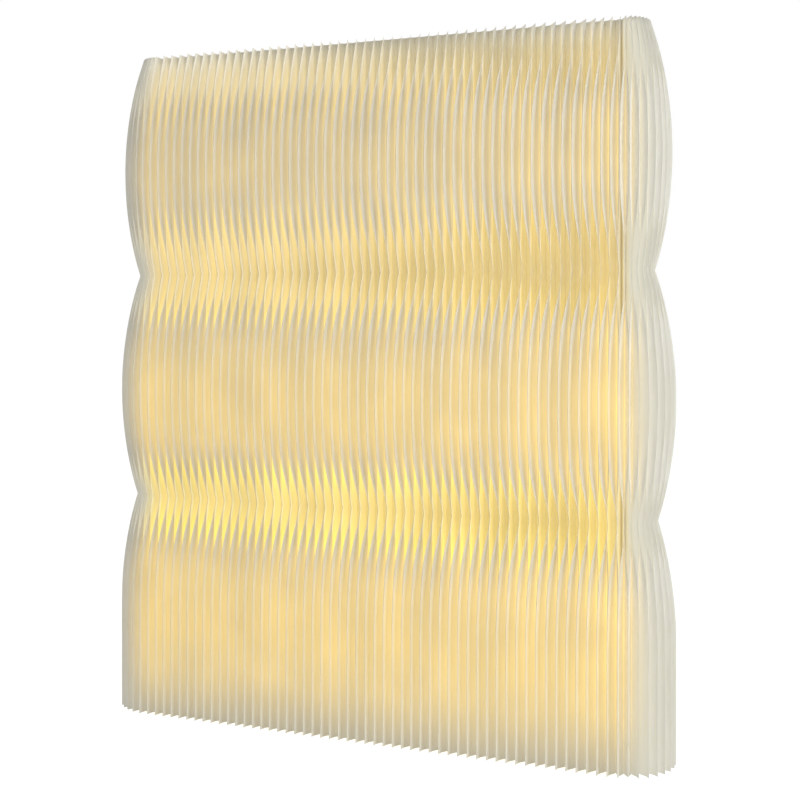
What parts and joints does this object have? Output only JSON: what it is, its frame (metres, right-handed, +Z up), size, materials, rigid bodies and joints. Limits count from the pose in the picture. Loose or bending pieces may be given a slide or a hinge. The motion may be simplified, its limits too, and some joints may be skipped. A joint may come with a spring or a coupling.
{
  "type": "pleated paper screen",
  "caption": "Free-standing room screen of honeycomb-pleated paper, stacked lobes front and back, lit from inside by upright light bars that slide as it closes.",
  "frame": {"origin": "centre of the outline's box, on the floor", "axes": "+Z up, +X along the screen towards the end nearer the picture's camera, -Y towards the side that the picture shows"},
  "size_m": [1.4464, 0.241, 1.696],
  "materials": {
    "paper": "matte, translucent, spun-bonded",
    "rail_metal": "satin, anodised",
    "foot_metal": "satin, powder-coated",
    "opal": "opal, lit from inside",
    "diode_strip": "mill finish with white boards",
    "slider": "moulded, satin",
    "housing": "moulded, satin",
    "dark_steel": "blackened",
    "knob": "moulded, fine matt",
    "rubber": "matt"
  },
  "bodies": {
    "left_end": {"left_fan": "paper", "left_post": "rail_metal", "left_foot": "foot_metal", "left_top_bracket": "foot_metal", "base_rail_fixed": "rail_metal", "top_rail_fixed": "rail_metal", "rail_mouth_bushes": "slider", "lock_nut": "dark_steel", "lamp_driver": "housing", "cord_gland": "rubber", "left_set_screws": "dark_steel"},
    "right_end": {"right_fan": "paper", "right_post": "rail_metal", "right_foot": "foot_metal", "right_top_bracket": "foot_metal", "base_rail_sliding": "rail_metal", "top_rail_sliding": "rail_metal", "sliding_rail_plugs": "slider", "right_set_screws": "dark_steel"},
    "lock": {"lock_screw": "knob"},
    "bar_1": {"pleats_1": "paper", "opal_tube_1": "opal", "led_strip_1": "diode_strip", "saddle_1": "slider", "fork_1": "slider"},
    "bar_2": {"pleats_2": "paper", "opal_tube_2": "opal", "led_strip_2": "diode_strip", "saddle_2": "slider", "fork_2": "slider"},
    "bar_3": {"pleats_3": "paper", "opal_tube_3": "opal", "led_strip_3": "diode_strip", "saddle_3": "slider", "fork_3": "slider"},
    "bar_4": {"pleats_4": "paper", "opal_tube_4": "opal", "led_strip_4": "diode_strip", "saddle_4": "slider", "fork_4": "slider"},
    "bar_5": {"pleats_5": "paper", "opal_tube_5": "opal", "led_strip_5": "diode_strip", "saddle_5": "slider", "fork_5": "slider"},
    "bar_6": {"pleats_6": "paper", "opal_tube_6": "opal", "led_strip_6": "diode_strip", "saddle_6": "slider", "fork_6": "slider"},
    "bar_7": {"pleats_7": "paper", "opal_tube_7": "opal", "led_strip_7": "diode_strip", "saddle_7": "slider", "fork_7": "slider"},
    "bar_8": {"pleats_8": "paper", "opal_tube_8": "opal", "led_strip_8": "diode_strip", "saddle_8": "slider", "fork_8": "slider"}
  },
  "joints": [
    {"name": "close_slide", "type": "slide", "parent": "left_end", "child": "right_end", "axis": [-1, 0, 0], "range_m": [0, 0.55]},
    {"name": "bar_1_slide", "type": "slide", "parent": "left_end", "child": "bar_1", "axis": [-1, 0, 0], "range_m": [0, 0.016], "deforming": ["pleats_1"]},
    {"name": "bar_2_slide", "type": "slide", "parent": "left_end", "child": "bar_2", "axis": [-1, 0, 0], "range_m": [0, 0.09], "deforming": ["pleats_2"]},
    {"name": "bar_3_slide", "type": "slide", "parent": "left_end", "child": "bar_3", "axis": [-1, 0, 0], "range_m": [0, 0.164], "deforming": ["pleats_3"]},
    {"name": "bar_4_slide", "type": "slide", "parent": "left_end", "child": "bar_4", "axis": [-1, 0, 0], "range_m": [0, 0.238], "deforming": ["pleats_4"]},
    {"name": "bar_5_slide", "type": "slide", "parent": "left_end", "child": "bar_5", "axis": [-1, 0, 0], "range_m": [0, 0.313], "deforming": ["pleats_5"]},
    {"name": "bar_6_slide", "type": "slide", "parent": "left_end", "child": "bar_6", "axis": [-1, 0, 0], "range_m": [0, 0.387], "deforming": ["pleats_6"]},
    {"name": "bar_7_slide", "type": "slide", "parent": "left_end", "child": "bar_7", "axis": [-1, 0, 0], "range_m": [0, 0.461], "deforming": ["pleats_7"]},
    {"name": "bar_8_slide", "type": "slide", "parent": "left_end", "child": "bar_8", "axis": [-1, 0, 0], "range_m": [0, 0.535], "deforming": ["pleats_8"]},
    {"name": "lock_turn", "type": "hinge", "parent": "left_end", "child": "lock", "pos_m": [0.0002, 0, 1.6685], "axis": [0, 0, 1], "range_deg": [0, 360]}
  ],
  "couplings": [
    {"joint": "bar_1_slide", "follows": "close_slide", "ratio": 0.028846},
    {"joint": "bar_2_slide", "follows": "close_slide", "ratio": 0.16346},
    {"joint": "bar_3_slide", "follows": "close_slide", "ratio": 0.29808},
    {"joint": "bar_4_slide", "follows": "close_slide", "ratio": 0.43269},
    {"joint": "bar_5_slide", "follows": "close_slide", "ratio": 0.56731},
    {"joint": "bar_6_slide", "follows": "close_slide", "ratio": 0.70192},
    {"joint": "bar_7_slide", "follows": "close_slide", "ratio": 0.83654},
    {"joint": "bar_8_slide", "follows": "close_slide", "ratio": 0.97115}
  ]
}
